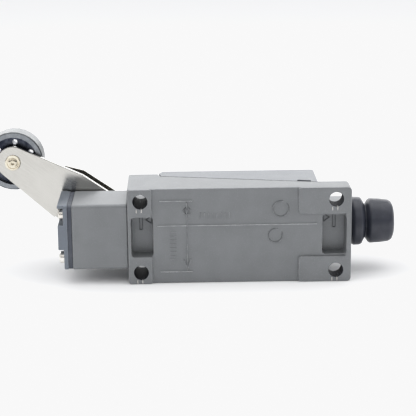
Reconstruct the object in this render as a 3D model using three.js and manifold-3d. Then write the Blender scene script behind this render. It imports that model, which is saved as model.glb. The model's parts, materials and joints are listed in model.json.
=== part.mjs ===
// Compact limit switch with a side rotary roller lever. Units are millimetres.
// X runs along the body from the head (-X) to the cable end (+X), and Z is up, across the body.
// The mounting back faces -Y. The origin is the centre of the four mounting holes, on the back panel.

import * as THREE from 'three';
import { mergeVertices } from 'three/addons/utils/BufferGeometryUtils.js';
import Module from 'manifold-3d';

const wasm = await Module();
wasm.setup();

// ---------------------------------------------------------------- driving dimensions

// Mounting pattern
const holePitchX = 56;
const holePitchZ = 21;
const mountingHoleRadius = 2.2;
const counterboreRadius = 3.0;
const headCounterboreDepth = 7.5;
const lugCounterboreDepth = 1.9;

// Case, outside
const caseWidth = 28;
const headEndMargin = 3.7;
const cableEndMargin = 4.4;
const padHeight = 0.8;
const headBlockLength = 9.3;
const headBlockDepth = 18.8;
const lugLength = 9;
const lugDepth = 6.9;
const splitDepthAtHead = 15.6;
const splitDepthAtLug = 5.9;
const splitGap = 0.5;
const coverGasketInset = 0.3;
const coverGasketClearance = 0.2;
const coverTipReach = 0.8;
const coverTipLean = 0.6;
const pryNotchLength = 3.9;
const pryNotchHeight = 1.4;
const pryNotchDepth = 1;
const pryNotchInset = 2;
const caseEdgeRadius = 0.35;
const caseCornerRadius = 0.8;
const planCornerRadius = 1.2;
const padLengthHead = 7;
const padLengthCable = 15.2;
const padWidthCable = 7.7;
const padEdge = 0.3;
const padCornerRadius = 0.8;
const pocketLengthHead = 6.6;
const pocketLengthCable = 7.2;
const pocketWidth = 12;
const pocketDepth = 4.6;
const pocketDraft = 0.4;
const pocketCornerRadius = 1;
const pocketMarginHead = 0.85;
const pocketMarginCable = 1.3;

// Case and cover, inside
const coverDepth = 22;
const sideWall = 2;
const cableWall = 2.4;
const cavityCornerRadius = 1.5;
const floorThickness = 2.2;
const coverWall = 1.8;
const coverPillarRadius = 2.7;
const coverPillarInset = 3.1;
const coverPillarPitch = 17.6;
const coverCounterboreDepth = 2.6;

// Cable entry
const entryDepth = 14.2;
const entryBossRadius = 7.4;
const entryNeckRadius = 5.7;
const entryBoreRadius = 4.7;
const bootRootRadius = 5.7;
const bootCrownRadius = 7.2;
const bootCrownX = 2.8;
const bootFlangeLength = 5;
const bootGrooveRadius = 5.45;
const bootGrooveLength = 0.6;
const bootBodyRadius = 6.65;
const bootBodyEndRadius = 6.2;
const bootTipRadius = 4.9;
const bootBodyLength = 8;
const bootSleeveLength = 7;
const bootBoreRadius = 3.5;
const bootSleeveClearance = 0.1;
const bootCrownFall = 1;
const bootBodyLead = 0.3;
const bootBodyShoulder = 1.2;
const bootTipShoulder = 2.2;
const bootTipRound = 1;

// Head
const headLength = 15.85;
const headWidth = 19.2;
const headDepth = 17.7;
const headCornerRadius = 0.9;
const headEdge = 0.3;
const headToCaseGap = 0.1;
const headCavityRadius = 6.25;
const headBaseWall = 2.55;
const headBossRadius = 6.2;
const headBossHeight = 0.8;
const shaftToCaseEnd = 8.2;
const capGasketThickness = 1.1;
const capPlateThickness = 1.25;
const capRibHeight = 1.6;
const capRibWidth = 7.4;
const capLipWidth = 1;
const capEdge = 0.2;
const capScrewPitchZ = 12.8;
const capScrewPitchY = 12.1;
const capGasketInset = 0.15;

// Shaft and cam
const shaftRadius = 3;
const shaftEndRadius = 2.5;
const shaftEndFlat = 2.1;
const rearJournalRadius = 2;
const rearJournalLength = 1.8;
const rearBearingFloor = 1.1;
const camRadius = 5;
const camFlat = 4;
const camWidth = 6.8;
const bushRadius = 4.4;
const bushLength = 2.4;
const sealThickness = 1.4;

// Plunger
const plungerTravel = 1.2;
const plungerHeadRadius = 3.3;
const plungerHeadThickness = 1.6;
const plungerRodRadius = 1.8;
const plungerEdge = 0.4;
const plungerBoreClearance = 0.3;
const plungerRodOverrun = 0.4;
const plungerSpringRadius = 2.6;
const plungerSpringTurns = 4;
const guideFlangeRadius = 4.2;
const guideFlangeThickness = 0.9;
const guideLength = 8;
const guideBoreClearance = 0.25;
const springWireRadius = 0.28;
const headScrewRadiusFromPlunger = 6.6;
const headScrewAngle = Math.PI / 4;

// Lever
const leverRadius = 31.5;
const leverAngle = 34.7 * Math.PI / 180;
const leverStandOff = 0.7;
const leverSheet = 1.5;
const leverChannelDepth = 8;
const leverEdge = 0.2;
const leverChannelHalfWidth = 7.8;
const leverChannelOffset = 0.5;
const leverChannelLength = 12.3;
const leverFarLegLength = 19.4;
const leverFarLegTipHalfWidth = 5.8;
const leverFarLegCorner = 1.5;
const leverTipRadius = 4.8;
const leverBendRadius = 1.9;
const leverWebSetback = 0.5;
const leverSpacerRadius = 4.2;
const leverWasherThickness = 0.8;
const leverScrewHeadRadius = 2.75;
const leverScrewHeadHeight = 3;
const leverScrewLength = 6.5;
const leverScrewSocketRadius = 1.45;

// Roller
const rollerRadius = 8.75;
const rollerWidth = 7;
const rollerHubRadius = 4.0;
const rollerRimThickness = 1.6;
const rollerRecessDepth = 1.5;
const rollerHoleRadius = 0.8;
const rollerHoleCount = 6;
const rollerChamfer = 0.35;
const rollerBushRadius = 2.7;
const rivetRadius = 1.8;
const rivetHeadRadius = 2.3;
const rivetHeadHeight = 0.7;
const rivetDimpleRadius = 1;
const rivetDimpleDepth = 0.35;
const rivetHeadEdge = 0.3;
const rivetFarHeadRadius = 2.9;
const rivetFarHeadHeight = 0.9;
const rivetFarHeadEdge = 0.4;
const rollerWasherRadius = 3.6;
const rollerWasherThickness = 0.4;

// Built-in switch
const switchTrayLength = 18.6;
const switchToPillars = 0.25;
const switchWidth = 20;
const switchDepth = 10;
const switchShelfDepth = 2.3;
const switchWall = 1.4;
const switchLidThickness = 1;
const buttonHeadRadius = 2.4;
const buttonHeadLength = 1.4;
const buttonStemRadius = 1.5;
const buttonEdge = 0.4;
const bridgeThickness = 1;
const bridgeHeight = 2.4;
const bridgeWidth = 17;
const terminalSheet = 1;
const terminalPitch = 5.2;
const terminalPadWidth = 4.2;
const terminalStripWidth = 2.2;
const innerStripZ = 3.6;
const outerStripZ = 7.1;
const terminalSlotClearance = 0.15;
const terminalPadGap = 0.6;
const terminalEndMargin = 1;
const terminalScrewInset = 7;
const terminalScrewShankRadius = 1.1;
const terminalScrewHeadRadius = 1.8;
const terminalScrewHeadHeight = 1.5;
const terminalScrewLength = 2.9;
const switchScrewShankRadius = 1.1;
const switchScrewHeadRadius = 2;
const switchScrewHeadHeight = 1.3;
const switchScrewBossRadius = 2.2;
const switchScrewInsetX = 3.3;
const switchScrewPitchZ = 13.2;
const groundScrewShankRadius = 1.3;
const groundScrewHeadRadius = 2.4;
const groundScrewHeadHeight = 1.5;
const groundScrewLength = 1.3;
const contactSpringRadius = 1.95;
const contactSpringTurns = 5;
const buttonCollarRadius = 2.1;
const buttonCollarLength = 1;
const bridgeInset = 8.8;
const barrierThickness = 0.5;
const barrierHeight = 4.4;

// Clearances
const runningFit = 0.06;
const screwFit = 0.06;
const washerFit = 0.2;
const seatGap = 0.05;
const openGap = 0.3;
const endPlay = 0.1;
const screwHeadClearance = 0.15;
const floorSkin = 0.7;

// Facets around a full turn, for wide, ordinary and small round features
const wideFacets = 28;
const roundFacets = 20;
const smallFacets = 12;
const cornerFacets = 3;
const arcFacets = 20;
const rollerHoleFacets = 8;
const hexagonSides = 6;

// Overlap of joined solids, reach of cutting tools past a surface, and distance at which points are merged
const joinLap = 0.5;
const overcut = 1;
const weldDistance = 1e-5;

// ---------------------------------------------------------------- places worked out from them

const halfWidth = caseWidth / 2;
const headEndX = -holePitchX / 2 - headEndMargin;
const cableEndX = holePitchX / 2 + cableEndMargin;
const coverHeadX = headEndX + headBlockLength;
const coverCableX = cableEndX - lugLength;
const splitSlope = (splitDepthAtLug - splitDepthAtHead) / (coverCableX - coverHeadX);
const splitDepthAt = x => splitDepthAtHead + splitSlope * (x - coverHeadX);
const cavityHeadX = coverHeadX + sideWall;
const cavityCableX = coverCableX - cableWall;
const cavityHalfWidth = halfWidth - sideWall;
const cavityFloor = floorThickness;
const coverCeiling = coverDepth - coverWall;
const pillarX = cavityCableX - coverPillarInset;

const headRightX = headEndX - headToCaseGap;
const headLeftX = headRightX - headLength;
const headAxisY = headDepth / 2;
const shaftX = headEndX - shaftToCaseEnd;
const camSweepX = shaftX + camRadius;
const headCavityEndX = headRightX - headBaseWall;
const headBossY = headDepth + headBossHeight;
const rearShoulderY = rearBearingFloor + rearJournalLength;
const capGasketX = headLeftX - seatGap - capGasketThickness;
const capPlateX = capGasketX - seatGap - capPlateThickness;
const plungerFaceX = camSweepX + openGap;
const plungerShoulderX = plungerFaceX + plungerHeadThickness;
const guideBoreRadius = plungerHeadRadius + guideBoreClearance;
const guideEndX = cavityHeadX + seatGap + guideFlangeThickness;
const guideStartX = guideEndX - guideLength - guideFlangeThickness;
const rodEndX = guideEndX + plungerTravel + plungerRodOverrun;

const leverInnerY = headBossY + leverStandOff;
const leverFarLegY = leverInnerY + leverChannelDepth - leverSheet;
const rollerNearY = leverInnerY + leverSheet + seatGap * 2 + rollerWasherThickness;
const rollerFarY = rollerNearY + rollerWidth;

const switchHeadX = rodEndX + openGap + buttonHeadLength + plungerTravel + openGap;
const switchTrayEndX = switchHeadX + switchTrayLength;
const switchEndX = pillarX - coverPillarRadius - switchToPillars;
const switchBottomY = cavityFloor + seatGap;
const switchTopY = switchBottomY + switchDepth;
const shelfTopY = switchBottomY + switchShelfDepth;
const switchFloorY = switchBottomY + switchWall;
const stripBottomY = shelfTopY + seatGap;
const bridgeX = switchHeadX + bridgeInset;
const bridgeEndX = bridgeX + bridgeThickness;

// ---------------------------------------------------------------- materials

const metal = (color, roughness) => new THREE.MeshStandardMaterial({ color, roughness, metalness: 1 });
const dull = (color, roughness) => new THREE.MeshStandardMaterial({ color, roughness, metalness: 0 });

const dieCast = metal(0x9a9c9f, 0.55);
const coverPaint = metal(0xb6b9bf, 0.5);
const darkPlate = metal(0x6c747e, 0.45);
const nickelSteel = metal(0xc9c7be, 0.25);
const satinSteel = metal(0xd0cec8, 0.32);
const bronze = metal(0x9c7440, 0.45);
const brass = metal(0xb9974a, 0.35);
const silverAlloy = metal(0xd8d6d0, 0.3);
const blackRubber = dull(0x2a2c31, 0.7);
const sealRubber = dull(0x1f2023, 0.75);
const blackPlastic = dull(0x25262a, 0.5);
const creamPlastic = dull(0xd9d3c2, 0.5);

// ---------------------------------------------------------------- shape and solid helpers

const basisXZ = new THREE.Matrix4().makeBasis(
  new THREE.Vector3(1, 0, 0), new THREE.Vector3(0, 0, 1), new THREE.Vector3(0, -1, 0));
const basisYZ = new THREE.Matrix4().makeBasis(
  new THREE.Vector3(0, 1, 0), new THREE.Vector3(0, 0, 1), new THREE.Vector3(1, 0, 0));

// Points on an arc about (x, y) from one angle to another, both ends included.
function arcPoints(x, y, radius, startAngle, endAngle, segments) {
  return Array.from({ length: segments + 1 }, (_, i) => {
    const angle = startAngle + (endAngle - startAngle) * i / segments;
    return new THREE.Vector2(x + radius * Math.cos(angle), y + radius * Math.sin(angle));
  });
}

// Closed outline through corners [x, y, radius], each corner rounded by an arc of its radius.
function outline(corners) {
  const count = corners.length;
  return new THREE.Shape(corners.flatMap(([x, y, radius = 0], index) => {
    const corner = new THREE.Vector2(x, y);
    if (radius === 0) {
      return [corner];
    }
    const before = new THREE.Vector2(...corners[(index + count - 1) % count].slice(0, 2));
    const after = new THREE.Vector2(...corners[(index + 1) % count].slice(0, 2));
    const incoming = corner.clone().sub(before).normalize();
    const outgoing = after.clone().sub(corner).normalize();
    const turn = Math.atan2(incoming.cross(outgoing), incoming.dot(outgoing));
    const reach = radius * Math.tan(Math.abs(turn) / 2);
    const start = corner.clone().addScaledVector(incoming, -reach);
    const normal = new THREE.Vector2(-incoming.y, incoming.x).multiplyScalar(Math.sign(turn) * radius);
    const centre = start.clone().add(normal);
    const startAngle = Math.atan2(-normal.y, -normal.x);
    return arcPoints(centre.x, centre.y, radius, startAngle, startAngle + turn, cornerFacets);
  }));
}

function rectangle(x0, x1, y0, y1, radius = 0) {
  return outline([[x0, y0, radius], [x1, y0, radius], [x1, y1, radius], [x0, y1, radius]]);
}

// Turns a closed geometry into a solid that can be cut and joined.
function solid(geometry) {
  geometry.deleteAttribute('normal');
  geometry.deleteAttribute('uv');
  const merged = mergeVertices(geometry, weldDistance);
  return new wasm.Manifold(new wasm.Mesh({
    numProp: 3,
    vertProperties: merged.attributes.position.array,
    triVerts: new Uint32Array(merged.index.array),
  }));
}

function geometryOf(body) {
  const mesh = body.getMesh();
  const geometry = new THREE.BufferGeometry();
  geometry.setAttribute('position', new THREE.BufferAttribute(mesh.vertProperties, 3));
  geometry.setIndex(new THREE.BufferAttribute(mesh.triVerts, 1));
  geometry.computeVertexNormals();
  return geometry;
}

function extrusion(shape, length, edge) {
  return new THREE.ExtrudeGeometry(shape, {
    depth: length - 2 * edge,
    bevelEnabled: edge > 0,
    bevelThickness: edge,
    bevelSize: edge,
    bevelOffset: -edge,
    bevelSegments: 2,
  }).translate(0, 0, edge);
}

// Prisms: an XY outline extruded along Z, an XZ outline along Y, and a YZ outline along X.
function prismAlongZ(shape, z0, z1, edge = 0) {
  return solid(extrusion(shape, z1 - z0, edge).translate(0, 0, z0));
}

function prismAlongY(shape, y0, y1, edge = 0) {
  return solid(extrusion(shape, y1 - y0, edge).applyMatrix4(basisXZ).translate(0, y1, 0));
}

function prismAlongX(shape, x0, x1, edge = 0) {
  return solid(extrusion(shape, x1 - x0, edge).applyMatrix4(basisYZ).translate(x0, 0, 0));
}

function box(x0, x1, y0, y1, z0, z1) {
  const geometry = new THREE.BoxGeometry(x1 - x0, y1 - y0, z1 - z0);
  return solid(geometry.translate((x0 + x1) / 2, (y0 + y1) / 2, (z0 + z1) / 2));
}

// Turned solids. A profile is a list of [radius, height] from the axis, out and back to the axis.
function turnedAlongY(profile, x, z, segments = roundFacets) {
  const points = profile.map(([radius, height]) => new THREE.Vector2(radius, height));
  return solid(new THREE.LatheGeometry(points, segments).translate(x, 0, z));
}

function turnedAlongX(profile, y, z, segments = roundFacets) {
  const points = profile.map(([radius, height]) => new THREE.Vector2(radius, height));
  return solid(new THREE.LatheGeometry(points, segments).rotateZ(-Math.PI / 2).translate(0, y, z));
}

function ringProfile(inner, outer, low, high) {
  return [[inner, low], [outer, low], [outer, high], [inner, high], [inner, low]];
}

function rodAlongY(radius, y0, y1, x, z, segments = roundFacets) {
  return turnedAlongY([[0, y0], [radius, y0], [radius, y1], [0, y1]], x, z, segments);
}

function rodAlongX(radius, x0, x1, y, z, segments = roundFacets) {
  return turnedAlongX([[0, x0], [radius, x0], [radius, x1], [0, x1]], y, z, segments);
}

function screwHoleAlongX(shankRadius, x0, x1, y, z) {
  return rodAlongX(shankRadius + screwFit, x0, x1, y, z, smallFacets);
}

function screwHoleAlongY(shankRadius, y0, y1, x, z) {
  return rodAlongY(shankRadius + screwFit, y0, y1, x, z, smallFacets);
}

// Coil spring along X about (y, z), made of a wire swept along a helix.
class Helix extends THREE.Curve {
  constructor(x0, x1, y, z, radius, turns) {
    super();
    Object.assign(this, { x0, x1, y, z, radius, turns });
  }

  getPoint(t, target = new THREE.Vector3()) {
    const angle = t * this.turns * Math.PI * 2;
    const x = this.x0 + (this.x1 - this.x0) * t;
    return target.set(x, this.y + this.radius * Math.cos(angle), this.z + this.radius * Math.sin(angle));
  }
}

function coilSpring(x0, x1, y, z, radius, turns) {
  const path = new Helix(x0 + springWireRadius, x1 - springWireRadius, y, z, radius, turns);
  const wireSides = 5;
  const section = arcPoints(0, 0, springWireRadius, 0, Math.PI * 2 * (1 - 1 / wireSides), wireSides - 1);
  return new THREE.ExtrudeGeometry(new THREE.Shape(section), {
    steps: turns * smallFacets,
    bevelEnabled: false,
    extrudePath: path,
  });
}

const crossHeadChamfer = 0.35;
const crossSlotShare = 0.14;
const crossReachShare = 0.62;
const crossFloorShare = 0.45;

// Screw with its axis along Y, its seat at y = 0, its head above and a cross recess in the head.
function crossScrew(headRadius, headHeight, shankRadius, shankLength) {
  const chamfer = Math.min(crossHeadChamfer, headHeight / 3);
  const body = turnedAlongY([[0, -shankLength], [shankRadius, -shankLength], [shankRadius, 0],
    [headRadius, 0], [headRadius, headHeight - chamfer], [headRadius - chamfer, headHeight],
    [0, headHeight]], 0, 0, smallFacets);
  const slotHalf = headRadius * crossSlotShare;
  const slotReach = headRadius * crossReachShare;
  const recessFloor = headHeight * crossFloorShare;
  const cross = box(-slotReach, slotReach, recessFloor, headHeight + overcut, -slotHalf, slotHalf)
    .add(box(-slotHalf, slotHalf, recessFloor, headHeight + overcut, -slotReach, slotReach));
  return body.subtract(cross);
}

// Screw with its axis along Y, its seat at y = 0, a cylinder head above and a hexagon socket in it.
function socketScrew(headRadius, headHeight, shankRadius, shankLength, socketRadius) {
  const chamfer = headHeight / 10;
  const body = turnedAlongY([[0, -shankLength], [shankRadius, -shankLength], [shankRadius, 0],
    [headRadius, 0], [headRadius, headHeight - chamfer], [headRadius - chamfer, headHeight],
    [0, headHeight]], 0, 0);
  return body.subtract(rodAlongY(socketRadius, headHeight / 2, headHeight + overcut, 0, 0, hexagonSides));
}

// ---------------------------------------------------------------- scene graph

const limitSwitch = new THREE.Group();
limitSwitch.name = 'limit_switch';

function addMesh(name, shape, material, parent = limitSwitch) {
  const geometry = shape instanceof THREE.BufferGeometry ? shape : geometryOf(shape);
  const mesh = new THREE.Mesh(geometry, material);
  mesh.name = name;
  parent.add(mesh);
  return mesh;
}

const mountingHoles = [-1, 1].flatMap(sx => [-1, 1].map(sz => (
  { atHead: sx < 0, x: sx * holePitchX / 2, z: sz * holePitchZ / 2 })));

const coverScrewPlaces = [-1, 1].map(sz => ({ x: pillarX, z: sz * coverPillarPitch / 2 }));

const capScrewPlaces = [-1, 1].flatMap(sz => [-1, 1].map(sy => (
  { y: headAxisY + sy * capScrewPitchY / 2, z: sz * capScrewPitchZ / 2 })));

const headScrewPlaces = [-1, 1].map(sz => ({
  y: headAxisY + headScrewRadiusFromPlunger * Math.sin(headScrewAngle),
  z: sz * headScrewRadiusFromPlunger * Math.cos(headScrewAngle),
}));

// ---------------------------------------------------------------- case and cover

const screwShankRadius = 1.5;
const coverScrewLength = 18;
const coverScrewHeadRadius = 2.4;
const coverScrewHeadHeight = 1.7;
const coverScrewSeatY = coverDepth - coverCounterboreDepth;
const coverScrewTipY = coverScrewSeatY - coverScrewLength;
const headScrewShankRadius = 1.3;
const headScrewHeadRadius = 2.2;
const headScrewHeadHeight = 1.3;

// Space that the cover takes out of the whole block, on or inside its joint with the case.
function coverZone(gap) {
  return prismAlongZ(outline([
    [coverHeadX + gap, splitDepthAt(coverHeadX + gap) + gap],
    [coverCableX, splitDepthAtLug + gap],
    [coverCableX, coverDepth * 2],
    [coverHeadX - coverTipReach + gap, coverDepth * 2],
    [coverHeadX - coverTipReach + gap, headBlockDepth],
  ]), -caseWidth, caseWidth);
}

function wholeBlock() {
  const r = caseCornerRadius;
  return prismAlongZ(outline([
    [headEndX, 0, r], [cableEndX, 0, r], [cableEndX, lugDepth, r], [coverCableX, lugDepth],
    [coverCableX, coverDepth, r], [coverHeadX + coverTipLean, coverDepth, r],
    [coverHeadX - coverTipReach, headBlockDepth], [headEndX, headBlockDepth, r],
  ]), -halfWidth, halfWidth, caseEdgeRadius);
}

// Keeps what lies inside the plan outline, which is rounded at the cable end.
function insidePlan(body) {
  const r = planCornerRadius;
  return body.intersect(prismAlongY(outline([
    [headEndX, -halfWidth], [cableEndX, -halfWidth, r], [cableEndX, halfWidth, r], [headEndX, halfWidth],
  ]), -padHeight, coverDepth));
}

// Blind pocket in the back with drafted walls.
function draftedPocket(x0, x1) {
  const middle = (x0 + x1) / 2;
  const length = pocketDepth + padHeight;
  const shape = rectangle(x0 - middle, x1 - middle, -pocketWidth / 2, pocketWidth / 2, pocketCornerRadius);
  const geometry = extrusion(shape, length, 0);
  const position = geometry.attributes.position;
  for (let i = 0; i < position.count; i += 1) {
    if (position.getZ(i) < length / 2) {
      position.setX(i, position.getX(i) * (1 - 2 * pocketDraft / (x1 - x0)));
      position.setY(i, position.getY(i) * (1 - 2 * pocketDraft / pocketWidth));
    }
  }
  return solid(geometry.applyMatrix4(basisXZ).translate(middle, pocketDepth - padHeight, 0));
}

// One pad across the head end, and a U-shaped pad around the pocket at the cable end.
function backPads() {
  const corner = padCornerRadius;
  const padStart = cableEndX - padLengthCable;
  const inner = halfWidth - padWidthCable;
  const stripStart = cableEndX - pocketMarginCable - pocketDraft;
  const headPad = rectangle(headEndX, headEndX + padLengthHead, -halfWidth, halfWidth, corner);
  const upper = rectangle(padStart, cableEndX, inner, halfWidth, corner);
  const lower = rectangle(padStart, cableEndX, -halfWidth, -inner, corner);
  const strip = rectangle(stripStart, cableEndX, -inner - corner, inner + corner);
  return [headPad, upper, lower, strip].map(shape => prismAlongY(shape, -padHeight, floorThickness, padEdge))
    .reduce((all, pad) => all.add(pad));
}

function entryBoss(radius, x0, x1, gap = 0) {
  const r = radius + gap;
  const shape = new THREE.Shape([
    new THREE.Vector2(floorThickness, -r),
    ...arcPoints(entryDepth, 0, r, -Math.PI / 2, Math.PI / 2, arcFacets),
    new THREE.Vector2(floorThickness, r),
  ]);
  return prismAlongX(shape, x0, x1);
}

// Space inside the case and the cover, between two depths.
function cavity(y0, y1, gap = 0) {
  const half = cavityHalfWidth + gap;
  const shape = rectangle(cavityHeadX - gap, cavityCableX + gap, -half, half, cavityCornerRadius);
  return prismAlongY(shape, y0, y1);
}

function caseBody() {
  let body = insidePlan(wholeBlock().subtract(coverZone(0)).add(backPads()));
  body = body.subtract(cavity(cavityFloor, coverDepth * 2));
  body = body.add(entryBoss(entryNeckRadius, cavityCableX, coverCableX + overcut));
  body = body.add(entryBoss(entryBossRadius, coverCableX + openGap, cableEndX));
  body = body.subtract(
    rodAlongX(entryBoreRadius, cavityCableX - overcut, cableEndX + overcut, entryDepth, 0));
  coverScrewPlaces.forEach(({ x, z }) => {
    const top = splitDepthAt(x + coverPillarRadius);
    body = body.add(rodAlongY(coverPillarRadius, cavityFloor - overcut, top, x, z));
    body = body.subtract(rodAlongY(screwShankRadius + screwFit, coverScrewTipY - openGap, coverDepth, x, z));
  });
  const pocketHeadX = headEndX + pocketMarginHead;
  const pocketCableX = cableEndX - pocketMarginCable;
  body = body.subtract(draftedPocket(pocketHeadX, pocketHeadX + pocketLengthHead));
  body = body.subtract(draftedPocket(pocketCableX - pocketLengthCable, pocketCableX));
  mountingHoles.forEach(({ atHead, x, z }) => {
    const depth = atHead ? headBlockDepth : lugDepth;
    const counterbore = depth - (atHead ? headCounterboreDepth : lugCounterboreDepth);
    body = body.subtract(rodAlongY(mountingHoleRadius, -padHeight - overcut, depth + overcut, x, z));
    body = body.subtract(rodAlongY(counterboreRadius, counterbore, depth + overcut, x, z));
  });
  const [outsideX, insideX] = [headEndX - overcut, cavityHeadX + overcut];
  body = body.subtract(rodAlongX(guideBoreRadius + runningFit, outsideX, insideX, headAxisY, 0));
  headScrewPlaces.forEach(({ y, z }) => {
    body = body.subtract(screwHoleAlongX(headScrewShankRadius, outsideX, insideX, y, z));
  });
  body = body.subtract(rodAlongX(gasketRingOuter + runningFit, outsideX, gasketSeatX, headAxisY, 0));
  groundAndSwitchHoles().forEach(({ x, z, radius }) => {
    body = body.subtract(screwHoleAlongY(radius, floorSkin, cavityFloor + overcut, x, z));
  });
  return body;
}

// Notches on both sides of the joint, at the cable end, where a blade lifts the cover.
function pryNotches() {
  const x1 = coverCableX - pryNotchInset;
  const x0 = x1 - pryNotchLength;
  const rise = splitGap + pryNotchHeight;
  const shape = outline([[x0, splitDepthAt(x0)], [x1, splitDepthAt(x1)],
    [x1, splitDepthAt(x1) + rise], [x0, splitDepthAt(x0) + rise]]);
  return prismAlongZ(shape, halfWidth - pryNotchDepth, caseWidth)
    .add(prismAlongZ(shape, -caseWidth, pryNotchDepth - halfWidth));
}

function cover() {
  let body = wholeBlock().intersect(coverZone(splitGap));
  body = body.subtract(cavity(-coverDepth, coverCeiling)).subtract(pryNotches());
  body = body.subtract(entryBoss(entryNeckRadius, cavityCableX - overcut, coverCableX + overcut, openGap));
  coverScrewPlaces.forEach(({ x, z }) => {
    const foot = splitDepthAt(x - coverPillarRadius) + splitGap;
    body = body.add(rodAlongY(coverPillarRadius, foot, coverCeiling + overcut, x, z));
    body = body.subtract(rodAlongY(screwShankRadius + screwFit, 0, coverDepth + overcut, x, z));
    const headRadius = coverScrewHeadRadius + screwHeadClearance;
    body = body.subtract(rodAlongY(headRadius, coverScrewSeatY - seatGap, coverDepth + overcut, x, z));
  });
  return body;
}

// Flat gasket in the joint between case and cover, open where the cable entry passes through it.
function coverGasket() {
  const inset = coverGasketInset;
  const clear = seatGap;
  const slab = prismAlongZ(outline([
    [coverHeadX + splitGap, splitDepthAt(coverHeadX + splitGap) + clear],
    [coverCableX - inset, splitDepthAt(coverCableX - inset) + clear],
    [coverCableX - inset, splitDepthAt(coverCableX - inset) + splitGap - clear],
    [coverHeadX + splitGap, splitDepthAt(coverHeadX + splitGap) + splitGap - clear],
  ]), -halfWidth + inset, halfWidth - inset);
  return slab.subtract(cavity(0, coverDepth, coverGasketClearance))
    .subtract(pryNotches())
    .subtract(entryBoss(entryNeckRadius, cavityCableX - overcut, coverCableX + overcut, openGap));
}

const gasketRingInner = 3.75;
const gasketRingOuter = 4.7;
const gasketSeatDepth = 0.6;
const gasketSeatX = headEndX + gasketSeatDepth;

function groundAndSwitchHoles() {
  return [
    ...switchScrewPlaces.map(place => ({ ...place, radius: switchScrewShankRadius })),
    { x: groundScrewX, z: 0, radius: groundScrewShankRadius },
  ];
}

const switchScrewPlaces = [-1, 1].map(sz => (
  { x: switchHeadX + switchScrewInsetX, z: sz * switchScrewPitchZ / 2 }));
const groundScrewX = (switchEndX + cavityCableX) / 2;

addMesh('case_body', caseBody(), dieCast);
addMesh('cover', cover(), coverPaint);
addMesh('cover_gasket', coverGasket(), sealRubber);

coverScrewPlaces.forEach(({ x, z }, index) => {
  const screw = crossScrew(coverScrewHeadRadius, coverScrewHeadHeight, screwShankRadius, coverScrewLength);
  addMesh(`cover_screw_${index + 1}`, screw, nickelSteel).position.set(x, coverScrewSeatY, z);
});

// ---------------------------------------------------------------- head

function headHousing() {
  const half = headWidth / 2;
  const section = rectangle(0, headDepth, -half, half, headCornerRadius);
  let body = prismAlongX(section, headLeftX, headRightX, headEdge);
  body = body.add(rodAlongY(headBossRadius, headDepth - overcut, headBossY, shaftX, 0, wideFacets));
  body = body.subtract(
    rodAlongX(headCavityRadius, headLeftX - overcut, headCavityEndX, headAxisY, 0, wideFacets));
  body = body.subtract(rodAlongX(plungerHeadRadius + plungerBoreClearance,
    headCavityEndX - overcut, headRightX + overcut, headAxisY, 0));
  body = body.subtract(rodAlongY(bushRadius + runningFit, headAxisY, headBossY + overcut, shaftX, 0));
  body = body.subtract(rodAlongY(rearJournalRadius + runningFit, rearBearingFloor, headAxisY, shaftX, 0));
  body = body.subtract(rodAlongY(shaftRadius + openGap, rearShoulderY - seatGap, headAxisY, shaftX, 0));
  capScrewPlaces.forEach(({ y, z }) => {
    const holeEndX = capPlateX + capScrewLength + openGap;
    body = body.subtract(screwHoleAlongX(capScrewShankRadius, headLeftX - overcut, holeEndX, y, z));
  });
  headScrewPlaces.forEach(({ y, z }) => {
    body = body.subtract(
      screwHoleAlongX(headScrewShankRadius, headCavityEndX, headRightX + overcut, y, z));
  });
  return body;
}

const capScrewShankRadius = 1.0;
const capScrewHeadRadius = 1.8;
const capScrewHeadHeight = 1.4;
const capScrewLength = 6.5;
const capScrewHoleClearance = 0.2;
const capGasketLap = 0.4;

function withCapScrewHoles(body, radius) {
  const startX = capPlateX - capRibHeight - overcut;
  return capScrewPlaces.reduce((rest, { y, z }) => (
    rest.subtract(rodAlongX(radius, startX, headLeftX, y, z, smallFacets))), body);
}

function headCap() {
  const half = headWidth / 2;
  const plate = prismAlongX(rectangle(0, headDepth, -half, half, headCornerRadius),
    capPlateX, capPlateX + capPlateThickness, capEdge);
  const raised = (z0, z1) => prismAlongX(rectangle(0, headDepth, z0, z1, 2 * capEdge),
    capPlateX - capRibHeight, capPlateX + 2 * capEdge, capEdge);
  const rib = raised(-capRibWidth / 2, capRibWidth / 2);
  const lip = raised(half - capLipWidth, half);
  return withCapScrewHoles(plate.add(rib).add(lip), capScrewShankRadius + capScrewHoleClearance);
}

function capGasket() {
  const half = headWidth / 2;
  const inset = capGasketInset;
  const section = rectangle(inset, headDepth - inset, inset - half, half - inset, headCornerRadius);
  const plate = prismAlongX(section, capGasketX, capGasketX + capGasketThickness);
  const openingRadius = headCavityRadius - capGasketLap;
  const opening = rodAlongX(openingRadius, capGasketX - overcut, headLeftX, headAxisY, 0, wideFacets);
  return withCapScrewHoles(plate.subtract(opening), capScrewShankRadius + capScrewHoleClearance);
}

addMesh('head_housing', headHousing(), dieCast);
addMesh('head_cap', headCap(), darkPlate);
addMesh('cap_gasket', capGasket(), sealRubber);
addMesh('head_gasket', turnedAlongX(
  ringProfile(gasketRingInner, gasketRingOuter, headRightX + seatGap, gasketSeatX - seatGap), headAxisY, 0),
sealRubber);

capScrewPlaces.forEach(({ y, z }, index) => {
  const screw = crossScrew(capScrewHeadRadius, capScrewHeadHeight, capScrewShankRadius, capScrewLength);
  const mesh = addMesh(`cap_screw_${index + 1}`, screw, nickelSteel);
  mesh.position.set(capPlateX - seatGap, y, z);
  mesh.rotation.z = Math.PI / 2;
});

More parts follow.
